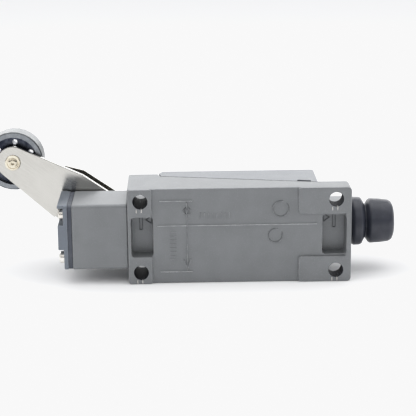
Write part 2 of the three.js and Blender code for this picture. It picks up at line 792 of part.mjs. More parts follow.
headScrewPlaces.forEach(({ y, z }, index) => {
  const length = cavityHeadX - headCavityEndX - openGap;
  const screw = crossScrew(headScrewHeadRadius, headScrewHeadHeight, headScrewShankRadius, length);
  const mesh = addMesh(`head_screw_${index + 1}`, screw, nickelSteel);
  mesh.position.set(cavityHeadX + seatGap, y, z);
  mesh.rotation.z = -Math.PI / 2;
});

// ---------------------------------------------------------------- plunger

function plunger() {
  const edge = plungerEdge;
  return turnedAlongX([[0, plungerFaceX], [plungerHeadRadius - edge, plungerFaceX],
    [plungerHeadRadius, plungerFaceX + edge], [plungerHeadRadius, plungerShoulderX],
    [plungerRodRadius, plungerShoulderX], [plungerRodRadius, rodEndX - edge],
    [plungerRodRadius - edge, rodEndX], [0, rodEndX]], headAxisY, 0);
}

function plungerGuide() {
  const inner = plungerRodRadius + runningFit;
  const shoulder = cavityHeadX + seatGap;
  return turnedAlongX([[inner, guideStartX], [guideBoreRadius, guideStartX],
    [guideBoreRadius, shoulder], [guideFlangeRadius, shoulder], [guideFlangeRadius, guideEndX],
    [inner, guideEndX], [inner, guideStartX]], headAxisY, 0);
}

addMesh('plunger', plunger(), satinSteel);
addMesh('plunger_guide', plungerGuide(), bronze);
addMesh('plunger_spring', coilSpring(plungerShoulderX + seatGap, guideStartX - seatGap,
  headAxisY, 0, plungerSpringRadius, plungerSpringTurns), nickelSteel);

// ---------------------------------------------------------------- shaft and cam

const shaftGroup = new THREE.Group();
shaftGroup.position.set(shaftX, 0, 0);
limitSwitch.add(shaftGroup);

const shaftShoulderY = leverInnerY - seatGap;
const shaftTipY = leverInnerY + leverChannelDepth - endPlay;
const sealInnerY = headBossY - endPlay - sealThickness;
const bushOuterY = sealInnerY - endPlay;

function shaftEnd(extra, y0, y1) {
  const flat = shaftEndFlat + extra;
  return rodAlongY(shaftEndRadius + extra, y0, y1, 0, 0)
    .intersect(box(-flat, flat, y0 - overcut, y1 + overcut, -shaftRadius, shaftRadius));
}

function shaft() {
  const threadRadius = screwShankRadius + screwFit;
  const rod = turnedAlongY([[0, rearBearingFloor + endPlay], [rearJournalRadius, rearBearingFloor + endPlay],
    [rearJournalRadius, rearShoulderY], [shaftRadius, rearShoulderY], [shaftRadius, shaftShoulderY],
    [0, shaftShoulderY]], 0, 0);
  const threadEndY = shaftTipY - leverScrewLength;
  const threadedHole = rodAlongY(threadRadius, threadEndY, shaftTipY + overcut, 0, 0, smallFacets);
  return rod.add(shaftEnd(0, shaftShoulderY - overcut, shaftTipY)).subtract(threadedHole);
}

function cam() {
  const y0 = headAxisY - camWidth / 2;
  const y1 = headAxisY + camWidth / 2;
  return rodAlongY(camRadius, y0, y1, 0, 0, wideFacets)
    .subtract(box(camFlat, camRadius + overcut, y0 - overcut, y1 + overcut, -camRadius, camRadius))
    .subtract(rodAlongY(shaftRadius + screwFit, y0 - overcut, y1 + overcut, 0, 0));
}

addMesh('cam', cam(), nickelSteel, shaftGroup);
const ringOnShaft = (y0, y1) => (
  turnedAlongY(ringProfile(shaftRadius + runningFit, bushRadius, y0, y1), 0, 0));
addMesh('shaft_bush', ringOnShaft(bushOuterY - bushLength, bushOuterY), bronze, shaftGroup);
addMesh('shaft_seal', ringOnShaft(sealInnerY, sealInnerY + sealThickness), sealRubber, shaftGroup);

// ---------------------------------------------------------------- lever

const leverGroup = new THREE.Group();
leverGroup.position.set(shaftX, 0, 0);
leverGroup.rotation.y = leverAngle;
limitSwitch.add(leverGroup);

const leverOuterY = leverInnerY + leverChannelDepth;
const leverUpperSide = leverChannelOffset + leverChannelHalfWidth;
const leverLowerSide = leverChannelOffset - leverChannelHalfWidth;

function nearLegOutline() {
  const run = leverRadius - leverChannelLength;
  const taperTo = side => Math.asin((Math.abs(side) - leverTipRadius) / run);
  const tipStart = Math.PI / 2 + taperTo(leverUpperSide);
  const tipEnd = Math.PI * 3 / 2 - taperTo(leverLowerSide);
  return new THREE.Shape([
    ...arcPoints(0, leverChannelOffset, leverChannelHalfWidth, -Math.PI / 2, Math.PI / 2, arcFacets),
    new THREE.Vector2(-leverChannelLength, leverUpperSide),
    ...arcPoints(-leverRadius, 0, leverTipRadius, tipStart, tipEnd, arcFacets),
    new THREE.Vector2(-leverChannelLength, leverLowerSide),
  ]);
}

function farLegOutline() {
  const tipUpper = leverChannelOffset + leverFarLegTipHalfWidth;
  const tipLower = leverChannelOffset - leverFarLegTipHalfWidth;
  const corner = leverFarLegCorner;
  return new THREE.Shape([
    ...arcPoints(0, leverChannelOffset, leverChannelHalfWidth, -Math.PI / 2, Math.PI / 2, arcFacets),
    new THREE.Vector2(-leverChannelLength, leverUpperSide),
    new THREE.Vector2(-leverFarLegLength + corner, tipUpper),
    new THREE.Vector2(-leverFarLegLength, tipUpper - corner),
    new THREE.Vector2(-leverFarLegLength, tipLower + corner),
    new THREE.Vector2(-leverFarLegLength + corner, tipLower),
    new THREE.Vector2(-leverChannelLength, leverLowerSide),
  ]);
}

// Folded sheet: a long near leg, a short far leg, and the web that joins their lower edges.
function leverArm() {
  const webStart = -leverChannelLength;
  const webEnd = -leverWebSetback;
  let body = prismAlongY(nearLegOutline(), leverInnerY, leverInnerY + leverSheet, leverEdge);
  body = body.add(prismAlongY(farLegOutline(), leverFarLegY, leverOuterY, leverEdge));
  body = body.add(
    box(webStart, webEnd, leverInnerY, leverOuterY, leverLowerSide, leverLowerSide + leverSheet));
  [[leverInnerY, 1], [leverOuterY, -1]].forEach(([edgeY, inward]) => {
    const centreY = edgeY + inward * leverBendRadius;
    const centreZ = leverLowerSide + leverBendRadius;
    const [low, high] = inward > 0 ? [edgeY - overcut, centreY] : [centreY, edgeY + overcut];
    const corner = box(webStart, webEnd, low, high, leverLowerSide - overcut, centreZ)
      .subtract(rodAlongX(leverBendRadius, webStart - overcut, overcut, centreY, centreZ, wideFacets));
    body = body.subtract(corner);
  });
  body = body.subtract(shaftEnd(runningFit, leverInnerY - overcut, leverOuterY + overcut));
  return body.subtract(rodAlongY(rivetRadius + runningFit, 0, leverOuterY, -leverRadius, 0));
}

function rollerRivet() {
  const headTop = leverInnerY - seatGap;
  const farSeat = rollerFarY + seatGap;
  return turnedAlongY([[0, headTop - rivetHeadHeight + rivetDimpleDepth],
    [rivetDimpleRadius, headTop - rivetHeadHeight],
    [rivetHeadRadius - rivetHeadEdge, headTop - rivetHeadHeight],
    [rivetHeadRadius, headTop - rivetHeadHeight + rivetHeadEdge],
    [rivetHeadRadius, headTop], [rivetRadius, headTop], [rivetRadius, farSeat],
    [rivetFarHeadRadius, farSeat], [rivetFarHeadRadius, farSeat + rivetFarHeadHeight / 2],
    [rivetFarHeadRadius - rivetFarHeadEdge, farSeat + rivetFarHeadHeight],
    [0, farSeat + rivetFarHeadHeight]],
  -leverRadius, 0);
}

function roller() {
  const webOuter = rollerRadius - rollerRimThickness;
  const low = rollerNearY + rollerRecessDepth;
  const high = rollerFarY - rollerRecessDepth;
  const chamfer = rollerChamfer;
  let body = turnedAlongY([[rollerBushRadius + screwFit, rollerNearY], [rollerHubRadius, rollerNearY],
    [rollerHubRadius, low], [webOuter, low], [webOuter, rollerNearY], [rollerRadius - chamfer, rollerNearY],
    [rollerRadius, rollerNearY + chamfer], [rollerRadius, rollerFarY - chamfer],
    [rollerRadius - chamfer, rollerFarY], [webOuter, rollerFarY], [webOuter, high], [rollerHubRadius, high],
    [rollerHubRadius, rollerFarY], [rollerBushRadius + screwFit, rollerFarY],
    [rollerBushRadius + screwFit, rollerNearY]], -leverRadius, 0, wideFacets);
  const holeCircle = (rollerHubRadius + webOuter) / 2;
  for (let i = 0; i < rollerHoleCount; i += 1) {
    const angle = Math.PI * 2 * i / rollerHoleCount;
    const x = -leverRadius + holeCircle * Math.cos(angle);
    const z = holeCircle * Math.sin(angle);
    body = body.subtract(
      rodAlongY(rollerHoleRadius, low - overcut, high + overcut, x, z, rollerHoleFacets));
  }
  return body;
}

addMesh('shaft', shaft(), satinSteel, leverGroup);
addMesh('lever_arm', leverArm(), satinSteel, leverGroup);
const ringAlongY = (inner, outer, y0, y1, x) => turnedAlongY(ringProfile(inner, outer, y0, y1), x, 0);
const nearLegSeatY = leverInnerY + leverSheet + seatGap;
const washerSeatY = leverOuterY + seatGap;
const leverScrewSeatY = washerSeatY + leverWasherThickness + seatGap;
addMesh('lever_spacer', ringAlongY(shaftEndRadius + runningFit, leverSpacerRadius,
  nearLegSeatY, leverFarLegY - seatGap, 0), nickelSteel, leverGroup);
addMesh('lever_washer', ringAlongY(screwShankRadius + washerFit, leverSpacerRadius,
  washerSeatY, washerSeatY + leverWasherThickness, 0), nickelSteel, leverGroup);
addMesh('lever_screw', socketScrew(leverScrewHeadRadius, leverScrewHeadHeight, screwShankRadius,
  leverScrewLength, leverScrewSocketRadius), nickelSteel, leverGroup).position.set(0, leverScrewSeatY, 0);
addMesh('roller_rivet', rollerRivet(), nickelSteel, leverGroup);
addMesh('roller_washer', ringAlongY(rivetRadius + runningFit, rollerWasherRadius,
  nearLegSeatY, nearLegSeatY + rollerWasherThickness, -leverRadius), nickelSteel, leverGroup);
addMesh('roller', roller(), satinSteel, leverGroup);
addMesh('roller_bush', ringAlongY(rivetRadius + runningFit, rollerBushRadius,
  rollerNearY, rollerFarY, -leverRadius), bronze, leverGroup);

// ---------------------------------------------------------------- built-in switch

const terminalZs = [-1.5, -0.5, 0.5, 1.5].map(step => step * terminalPitch);
const stripTopY = stripBottomY + terminalSheet;
const contactTopY = headAxisY + bridgeHeight / 2;
const normallyOpenX = bridgeEndX + plungerTravel + openGap;
const normallyClosedX = bridgeX - openGap - terminalSheet;
const terminalScrewX = switchTrayEndX + terminalScrewInset;
const stemEndX = switchTrayEndX - switchWall - plungerTravel - openGap;

// Outer terminals are the normally closed pair and inner terminals the normally open pair.
function terminalParts(z) {
  const outer = Math.abs(z) > terminalPitch;
  const side = Math.sign(z);
  return {
    contactX: outer ? normallyClosedX : normallyOpenX,
    stripZ: side * (outer ? outerStripZ : innerStripZ),
  };
}

function terminalSolid(z) {
  const { contactX, stripZ } = terminalParts(z);
  const half = terminalStripWidth / 2;
  const padHalf = terminalPadWidth / 2;
  const padX = switchTrayEndX + terminalPadGap;
  const padEndX = switchEndX - terminalEndMargin;
  const pad = box(padX, padEndX, stripBottomY, stripTopY, z - padHalf, z + padHalf);
  const strip = box(contactX, padX + joinLap, stripBottomY, stripTopY, stripZ - half, stripZ + half);
  const contactEndX = contactX + terminalSheet;
  const contact = box(contactX, contactEndX, stripBottomY, contactTopY, stripZ - half, stripZ + half);
  return pad.add(strip).add(contact);
}

function buttonHole(x0, x1) {
  return rodAlongX(buttonStemRadius + runningFit, x0, x1, headAxisY, 0, smallFacets);
}

function switchBase() {
  const half = switchWidth / 2;
  let body = box(switchHeadX, switchTrayEndX, switchBottomY, switchTopY, -half, half);
  const inner = half - switchWall;
  body = body.subtract(box(switchHeadX + switchWall, switchTrayEndX - switchWall,
    switchFloorY, switchTopY + overcut, -inner, inner));
  body = body.add(box(switchTrayEndX - joinLap, switchEndX, switchBottomY, shelfTopY, -half, half));
  [-terminalPitch, 0, terminalPitch].forEach(z => {
    body = body.add(box(switchTrayEndX - joinLap, switchEndX, shelfTopY - joinLap, shelfTopY + barrierHeight,
      z - barrierThickness / 2, z + barrierThickness / 2));
  });
  switchScrewPlaces.forEach(({ x, z }) => {
    body = body.add(rodAlongY(switchScrewBossRadius, switchFloorY - joinLap, switchTopY, x, z, smallFacets));
    body = body.subtract(screwHoleAlongY(switchScrewShankRadius, 0, switchTopY + overcut, x, z));
  });
  body = body.subtract(buttonHole(switchHeadX - overcut, switchHeadX + switchWall + overcut));
  const padStartX = switchTrayEndX + terminalPadGap;
  terminalZs.forEach(z => {
    const { stripZ } = terminalParts(z);
    const slotHalf = terminalStripWidth / 2 + terminalSlotClearance;
    body = body.subtract(box(switchTrayEndX - switchWall - overcut, padStartX,
      stripBottomY - endPlay, stripTopY + endPlay, stripZ - slotHalf, stripZ + slotHalf));
    body = body.subtract(
      screwHoleAlongY(terminalScrewShankRadius, 0, stripTopY, terminalScrewX, z));
  });
  return body;
}

function switchLid() {
  const half = switchWidth / 2;
  const y0 = switchTopY + seatGap;
  const y1 = y0 + switchLidThickness;
  return switchScrewPlaces.reduce((rest, { x, z }) => (
    rest.subtract(screwHoleAlongY(switchScrewShankRadius, y0 - overcut, y1 + overcut, x, z))),
  box(switchHeadX, switchTrayEndX, y0, y1, -half, half));
}

function switchButton() {
  const face = rodEndX + openGap;
  const collarX = bridgeX - buttonCollarLength;
  return turnedAlongX([[0, face], [buttonHeadRadius - buttonEdge, face],
    [buttonHeadRadius, face + buttonEdge], [buttonHeadRadius, face + buttonHeadLength],
    [buttonStemRadius, face + buttonHeadLength],
    [buttonStemRadius, collarX], [buttonCollarRadius, collarX],
    [buttonCollarRadius, bridgeX - seatGap], [buttonStemRadius, bridgeX - seatGap],
    [buttonStemRadius, stemEndX], [0, stemEndX]], headAxisY, 0, smallFacets);
}

function contactBridge() {
  const half = bridgeWidth / 2;
  const bar = box(bridgeX, bridgeEndX, contactTopY - bridgeHeight, contactTopY, -half, half);
  const hub = rodAlongX(buttonCollarRadius, bridgeX, bridgeEndX, headAxisY, 0, smallFacets);
  return bar.add(hub).subtract(buttonHole(bridgeX - overcut, bridgeEndX + overcut));
}

addMesh('switch_base', switchBase(), blackPlastic);
addMesh('switch_lid', switchLid(), creamPlastic);
addMesh('switch_button', switchButton(), creamPlastic);
addMesh('contact_bridge', contactBridge(), silverAlloy);
addMesh('contact_spring', coilSpring(bridgeEndX + seatGap, switchTrayEndX - switchWall - seatGap,
  headAxisY, 0, contactSpringRadius, contactSpringTurns), nickelSteel);

const switchScrewSeatY = switchTopY + seatGap * 2 + switchLidThickness;
switchScrewPlaces.forEach(({ x, z }, index) => {
  const screw = crossScrew(switchScrewHeadRadius, switchScrewHeadHeight, switchScrewShankRadius,
    switchScrewSeatY - floorSkin - screwFit);
  addMesh(`switch_screw_${index + 1}`, screw, nickelSteel).position.set(x, switchScrewSeatY, z);
});

terminalZs.forEach((z, index) => {
  const hole = screwHoleAlongY(terminalScrewShankRadius, 0, stripTopY + overcut, terminalScrewX, z);
  addMesh(`terminal_${index + 1}`, terminalSolid(z).subtract(hole), brass);
  const screw = crossScrew(terminalScrewHeadRadius, terminalScrewHeadHeight, terminalScrewShankRadius,
    terminalScrewLength);
  addMesh(`terminal_screw_${index + 1}`, screw, nickelSteel)
    .position.set(terminalScrewX, stripTopY + seatGap, z);
});

addMesh('ground_screw', crossScrew(groundScrewHeadRadius, groundScrewHeadHeight, groundScrewShankRadius,
  groundScrewLength), nickelSteel).position.set(groundScrewX, cavityFloor + seatGap, 0);

// ---------------------------------------------------------------- cable boot

function cableBoot() {
  const flangeX = cableEndX + openGap;
  const crownX = flangeX + bootCrownX;
  const grooveX = flangeX + bootFlangeLength;
  const bodyX = grooveX + bootGrooveLength;
  const tipX = bodyX + bootBodyLength;
  const sleeveRadius = entryBoreRadius - bootSleeveClearance;
  const startX = flangeX - bootSleeveLength;
  const swell = (bootCrownRadius - bootRootRadius) / 3;
  return turnedAlongX([[bootBoreRadius, startX], [sleeveRadius, startX], [sleeveRadius, flangeX],
    [bootRootRadius, flangeX], [bootCrownRadius - swell, flangeX + bootCrownX / 2],
    [bootCrownRadius, crownX], [bootCrownRadius - swell / 2, crownX + bootCrownFall],
    [bootRootRadius, grooveX], [bootGrooveRadius, grooveX], [bootGrooveRadius, bodyX],
    [bootBodyRadius - swell, bodyX + bootBodyLead], [bootBodyRadius, bodyX + bootBodyShoulder],
    [bootBodyEndRadius, tipX - bootTipShoulder], [bootBodyEndRadius - swell, tipX - bootTipRound],
    [bootTipRadius, tipX], [bootBoreRadius, tipX], [bootBoreRadius, startX]], entryDepth, 0, wideFacets);
}

addMesh('cable_boot', cableBoot(), blackRubber);

export default limitSwitch;
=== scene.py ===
"""Looks of a compact die-cast limit switch with a side rotary roller lever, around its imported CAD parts.

Units are metres, in the CAD frame: X along the body to the cable end, -Y out of the mounting back, Z up.
"""

import json
import math

import bmesh
import bpy
from mathutils import Matrix, Vector


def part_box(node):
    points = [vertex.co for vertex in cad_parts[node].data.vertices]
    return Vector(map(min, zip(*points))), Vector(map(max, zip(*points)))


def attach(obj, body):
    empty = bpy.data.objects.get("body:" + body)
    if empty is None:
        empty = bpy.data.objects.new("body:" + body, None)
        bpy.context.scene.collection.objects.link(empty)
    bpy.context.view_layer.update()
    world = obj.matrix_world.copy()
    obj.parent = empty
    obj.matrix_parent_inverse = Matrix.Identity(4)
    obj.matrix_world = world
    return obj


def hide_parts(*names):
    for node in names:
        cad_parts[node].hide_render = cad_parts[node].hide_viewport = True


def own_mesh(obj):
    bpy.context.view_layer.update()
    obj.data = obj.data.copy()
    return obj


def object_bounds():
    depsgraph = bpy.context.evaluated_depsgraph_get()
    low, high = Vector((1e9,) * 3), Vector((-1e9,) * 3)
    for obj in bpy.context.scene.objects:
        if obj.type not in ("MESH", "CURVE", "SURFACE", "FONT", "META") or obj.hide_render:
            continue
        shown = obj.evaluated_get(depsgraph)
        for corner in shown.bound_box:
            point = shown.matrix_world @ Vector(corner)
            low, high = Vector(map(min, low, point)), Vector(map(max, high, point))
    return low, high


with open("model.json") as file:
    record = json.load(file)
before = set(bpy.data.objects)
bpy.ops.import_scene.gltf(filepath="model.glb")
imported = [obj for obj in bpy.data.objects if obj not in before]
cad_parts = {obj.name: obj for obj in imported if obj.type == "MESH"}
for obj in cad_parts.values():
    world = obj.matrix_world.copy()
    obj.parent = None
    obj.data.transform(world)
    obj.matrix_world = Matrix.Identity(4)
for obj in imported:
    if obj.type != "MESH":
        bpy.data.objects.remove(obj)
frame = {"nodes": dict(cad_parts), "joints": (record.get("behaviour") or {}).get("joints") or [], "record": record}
cad_lowest, cad_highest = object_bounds()

MM = 0.001
HOLE_PITCH_X = 56 * MM
HOLE_PITCH_Z = 21 * MM

# ---------------------------------------------------------------- camera, floor and light

CAMERA_PITCH = math.radians(14.8)     # looking down
CAMERA_YAW = math.radians(1.2)        # turned towards +X
CAMERA_ROLL = math.radians(-0.56)
CAMERA_DISTANCE = 410 * MM            # to the origin, along the line of sight
ORIGIN_RIGHT = 8.73 * MM              # where the origin lies in the view, from its middle
ORIGIN_UP = -7.89 * MM
CAMERA_LENS = 123.75                  # millimetres
SENSOR_WIDTH = 36                     # millimetres
CLIP_START = 0.01
CLIP_END = 20
FLOOR_REACH = 6.0
FLOOR_COLOUR = (0.93, 0.93, 0.935, 1)
FLOOR_ROUGHNESS = 0.6
ROOM_COLOUR = (0.96, 0.975, 1.0, 1)
ROOM_FADE = (-0.7, 0.3)               # the directions' Y between which the room changes from front to back
ROOM_FRONT = 0.1                      # brightness of the room behind the camera
ROOM_BACK = 0.6                       # brightness of the room behind the object
PAPER_WHITE = 0.94                    # the brightest value of the picture
TONE_SHOULDER = 0.8                   # the value where the roll-off to it starts
GLOW_STRENGTH = 1.75
GLOW_SPREAD = math.radians(110)
GLOW_TILT = (math.radians(13), math.radians(2), 0)
FLOOR_BELOW = (0, 0, cad_lowest.z)
# name, place, target, size, watts, whether it lights matte surfaces, whether it shows in reflections
AREA_LIGHTS = (
    ("top_softbox", (0, 0.12, 0.55), (-0.01, 0.01, 0), (0.7, 0.4), 0.9, True, True),
    ("back_card", (0, 1.0, 0.33), (0, 0, 0), (2.4, 0.6), 9.5, False, True),
    ("front_fill", (-0.05, -0.9, 0.3), (-0.01, 0, 0), (0.8, 0.3), 0.3, True, False),
    ("side_fill", (-0.55, -0.1, 0.22), FLOOR_BELOW, (0.3, 0.3), 0.9, True, False),
    ("side_fill", (0.55, -0.1, 0.22), FLOOR_BELOW, (0.3, 0.3), 0.9, True, False),
    ("side_softbox", (-0.45, -0.3, 0.35), (-0.03, 0.01, 0), (0.25, 0.4), 0.25, True, True),
)
RANGE_SOCKETS = ("From Min", "From Max", "To Min", "To Max")


def make_camera():
    forward = Vector((math.sin(CAMERA_YAW) * math.cos(CAMERA_PITCH),
                      math.cos(CAMERA_YAW) * math.cos(CAMERA_PITCH),
                      -math.sin(CAMERA_PITCH)))
    level_right = Vector((math.cos(CAMERA_YAW), -math.sin(CAMERA_YAW), 0))
    level_up = level_right.cross(forward)
    right = level_right * math.cos(CAMERA_ROLL) + level_up * math.sin(CAMERA_ROLL)
    up = level_up * math.cos(CAMERA_ROLL) - level_right * math.sin(CAMERA_ROLL)
    place = -(forward * CAMERA_DISTANCE + right * ORIGIN_RIGHT + up * ORIGIN_UP)
    data = bpy.data.cameras.new("camera")
    data.lens = CAMERA_LENS
    data.sensor_width = SENSOR_WIDTH
    data.clip_start = CLIP_START
    data.clip_end = CLIP_END
    camera = bpy.data.objects.new("camera", data)
    bpy.context.scene.collection.objects.link(camera)
    axes = Matrix((right, up, -forward)).transposed().to_4x4()
    camera.matrix_world = Matrix.Translation(place) @ axes
    bpy.context.scene.camera = camera


def make_floor():
    mesh = bpy.data.meshes.new("floor")
    r = FLOOR_REACH
    z = cad_lowest.z
    mesh.from_pydata([(-r, -r, z), (r, -r, z), (r, r, z), (-r, r, z)], [], [(0, 1, 2, 3)])
    floor = bpy.data.objects.new("floor", mesh)
    bpy.context.scene.collection.objects.link(floor)
    material = bpy.data.materials.new("floor_paper")
    material.use_nodes = True
    shader = material.node_tree.nodes["Principled BSDF"]
    shader.inputs["Base Color"].default_value = FLOOR_COLOUR
    shader.inputs["Roughness"].default_value = FLOOR_ROUGHNESS
    shader.inputs["Specular IOR Level"].default_value = 0
    floor.data.materials.append(material)


def add_area_light(name, place, target, size, power, diffuse, glossy):
    data = bpy.data.lights.new(name, "AREA")
    data.shape = "RECTANGLE"
    data.size, data.size_y = size
    data.energy = power
    light = bpy.data.objects.new(name, data)
    light.location = place
    light.rotation_euler = (Vector(target) - Vector(place)).to_track_quat("-Z", "Y").to_euler()
    light.visible_camera = False
    light.visible_diffuse = diffuse
    light.visible_glossy = glossy
    bpy.context.scene.collection.objects.link(light)


def add_overhead_glow():
    data = bpy.data.lights.new("overhead_glow", "SUN")
    data.energy = GLOW_STRENGTH
    data.angle = GLOW_SPREAD
    light = bpy.data.objects.new("overhead_glow", data)
    light.rotation_euler = GLOW_TILT
    bpy.context.scene.collection.objects.link(light)


def set_white_point():
    """Rolls everything brighter than the paper off to the paper's own near-white."""
    view = bpy.context.scene.view_settings
    view.view_transform = "Standard"
    view.use_curve_mapping = True
    view.curve_mapping.extend = "HORIZONTAL"
    tone = view.curve_mapping.curves[3]
    tone.points[-1].location = (1.0, PAPER_WHITE)
    shoulder = tone.points.new(TONE_SHOULDER, TONE_SHOULDER)
    shoulder.handle_type = "VECTOR"
    view.curve_mapping.update()


def make_room():
    world = bpy.data.worlds.new("studio")
    world.use_nodes = True
    tree = world.node_tree
    background = tree.nodes["Background"]
    background.inputs["Color"].default_value = ROOM_COLOUR
    split = tree.nodes.new("ShaderNodeSeparateXYZ")
    tree.links.new(tree.nodes.new("ShaderNodeTexCoord").outputs["Generated"], split.inputs[0])
    fade = tree.nodes.new("ShaderNodeMapRange")
    fade.interpolation_type = "SMOOTHSTEP"
    for name, number in zip(RANGE_SOCKETS, (*ROOM_FADE, ROOM_FRONT, ROOM_BACK)):
        fade.inputs[name].default_value = number
    tree.links.new(split.outputs["Y"], fade.inputs["Value"])
    tree.links.new(fade.outputs["Result"], background.inputs["Strength"])
    bpy.context.scene.world = world


def make_lights():
    make_room()
    add_overhead_glow()
    for light in AREA_LIGHTS:
        add_area_light(*light)
    set_white_point()


# ---------------------------------------------------------------- materials


class Surface:
    """A node material built up step by step. Patterns use object coordinates, which are frame coordinates."""

    def __init__(self, name, metallic, roughness):
        self.material = bpy.data.materials.new(name)
        self.material.use_nodes = True
        self.tree = self.material.node_tree
        self.shader = self.tree.nodes["Principled BSDF"]
        self.shader.inputs["Metallic"].default_value = metallic
        self.shader.inputs["Roughness"].default_value = roughness
        self.places = self.add("ShaderNodeTexCoord").outputs["Object"]

    def add(self, kind, **settings):
        node = self.tree.nodes.new(kind)
        for key, value in settings.items():
            setattr(node, key, value)
        return node

    def join(self, output, socket):
        self.tree.links.new(output, socket)

    def math(self, operation, first, second=None):
        node = self.add("ShaderNodeMath", operation=operation)
        for socket, value in zip(node.inputs, (first, second)):
            if isinstance(value, (int, float)):
                socket.default_value = value
            elif value is not None:
                self.join(value, socket)
        return node.outputs[0]

    def noise(self, size, detail=3.0, stretch=(1, 1, 1), turn=0.0):
        """Noise whose blotches are about size across, drawn out by stretch after a turn about Y."""
        mapping = self.add("ShaderNodeMapping", vector_type="TEXTURE")
        mapping.inputs["Rotation"].default_value = (0, turn, 0)
        mapping.inputs["Scale"].default_value = stretch
        self.join(self.places, mapping.inputs["Vector"])
        texture = self.add("ShaderNodeTexNoise")
        texture.inputs["Scale"].default_value = 0.5 / size
        texture.inputs["Detail"].default_value = detail
        self.join(mapping.outputs["Vector"], texture.inputs["Vector"])
        return texture.outputs["Fac"]

    def ramp(self, value, low, high, out_low=0.0, out_high=1.0):
        node = self.add("ShaderNodeMapRange", interpolation_type="SMOOTHSTEP")
        self.join(value, node.inputs["Value"])
        for name, number in zip(RANGE_SOCKETS, (low, high, out_low, out_high)):
            node.inputs[name].default_value = number
        return node.outputs["Result"]

    def mix(self, factor, first, second):
        node = self.add("ShaderNodeMix", data_type="RGBA")
        self.join(factor, node.inputs["Factor"])
        for name, value in (("A", first), ("B", second)):
            socket = next(s for s in node.inputs if s.name == name and s.type == "RGBA")
            if isinstance(value, tuple):
                socket.default_value = (*value, 1)
            else:
                self.join(value, socket)
        return next(s for s in node.outputs if s.type == "RGBA")

    def edge(self, radius, low, high):
        """1 along convex and concave edges, 0 on flat ground."""
        rounded = self.add("ShaderNodeBevel", samples=4)
        rounded.inputs["Radius"].default_value = radius
        true = self.add("ShaderNodeNewGeometry")
        dot = self.add("ShaderNodeVectorMath", operation="DOT_PRODUCT")
        self.join(rounded.outputs["Normal"], dot.inputs[0])
        self.join(true.outputs["Normal"], dot.inputs[1])
        return self.ramp(self.math("SUBTRACT", 1.0, dot.outputs["Value"]), low, high)

    def colour(self, value):
        self.join(value, self.shader.inputs["Base Color"])

    def roughness(self, value):
        self.join(value, self.shader.inputs["Roughness"])

    def bump(self, height, depth, strength):
        node = self.add("ShaderNodeBump")
        node.inputs["Distance"].default_value = depth
        node.inputs["Strength"].default_value = strength
        self.join(height, node.inputs["Height"])
        self.join(node.outputs["Normal"], self.shader.inputs["Normal"])


def scaled(colour, share):
    return tuple(channel * share for channel in colour)


def cast_metal(name, colour, wear_and_highlight, metallic=0.4, roughness=0.46):
    """Blasted die casting: fine grain, faint flow blotches and lighter edges."""
    surface = Surface(name, metallic, roughness)
    blotches = surface.ramp(surface.noise(3.0 * MM), 0.3, 0.7)
    grain = surface.noise(0.16 * MM, 2.0)
    ground = surface.mix(blotches, scaled(colour, 0.95), scaled(colour, 1.04))
    speckled = surface.mix(surface.ramp(grain, 0.5, 0.78), ground, scaled(colour, 1.22))
    # Patchy lighter colour along the edges: partly wear, partly a painted highlight on the edges.
    edges = surface.math("MULTIPLY", surface.edge(0.25 * MM, 0.01, 0.16),
                         surface.ramp(surface.noise(0.9 * MM), 0.35, 0.62))
    surface.colour(surface.mix(edges, speckled, wear_and_highlight))
    surface.roughness(surface.ramp(grain, 0.3, 0.7, roughness - 0.06, roughness + 0.08))
    surface.bump(grain, 0.02 * MM, 0.5)
    return surface.material


def bore_shade_metal():
    """Walls of the mounting holes in painted shade: very dark, streaked along the drill's way."""
    surface = Surface("bore_shade_metal", 0.2, 0.7)
    surface.shader.inputs["Specular IOR Level"].default_value = 0.15
    streaks = surface.ramp(surface.noise(0.3 * MM, 2.0, stretch=(1, 9, 1)), 0.5, 0.75)
    surface.colour(surface.mix(streaks, (0.012, 0.014, 0.022), (0.07, 0.075, 0.085)))
    surface.bump(streaks, 0.02 * MM, 0.5)
    return surface.material


def plated(name, light, dark, roughness=0.2):
    """Bright nickel plate with a soft tarnish in patches and fine scratches."""
    surface = Surface(name, 1.0, roughness)
    patches = surface.ramp(surface.noise(1.1 * MM), 0.35, 0.68)
    scratches = surface.noise(0.12 * MM, 2.0, stretch=(1, 8, 1))
    surface.colour(surface.mix(patches, light, dark))
    surface.roughness(surface.ramp(scratches, 0.35, 0.7, roughness, roughness + 0.12))
    surface.bump(scratches, 0.01 * MM, 0.4)
    return surface.material


def rolled_steel():
    """Stainless sheet, brushed along the lever, with a faint cloudiness."""
    surface = Surface("rolled_steel", 1.0, 0.16)
    joints = {joint["name"]: joint for joint in frame["joints"]}
    roller_place, shaft_place = joints["roller_spin"]["pos_m"], joints["lever_turn"]["pos_m"]
    lean = math.atan2(roller_place[2] - shaft_place[2], shaft_place[0] - roller_place[0])
    brushing = surface.noise(0.09 * MM, 3.0, stretch=(26, 1, 1), turn=lean)
    clouds = surface.noise(4.0 * MM, 3.0)
    ground = surface.mix(surface.ramp(clouds, 0.3, 0.7), (0.5, 0.488, 0.458), (0.55, 0.538, 0.507))
    surface.colour(surface.mix(surface.ramp(brushing, 0.35, 0.7), ground, (0.58, 0.568, 0.536)))
    surface.roughness(surface.ramp(brushing, 0.3, 0.7, 0.13, 0.2))
    surface.bump(brushing, 0.002 * MM, 0.4)
    return surface.material


def turned_steel():
    """Turned and ground steel of the shaft, plunger and roller."""
    surface = Surface("turned_steel", 1.0, 0.25)
    rings = surface.noise(0.08 * MM, 2.0, stretch=(6, 1, 6))
    clouds = surface.ramp(surface.noise(2.0 * MM), 0.35, 0.7)
    surface.colour(surface.mix(clouds, (0.5, 0.515, 0.53), (0.62, 0.63, 0.64)))
    surface.roughness(surface.ramp(rings, 0.3, 0.7, 0.26, 0.38))
    surface.bump(rings, 0.006 * MM, 0.4)
    return surface.material


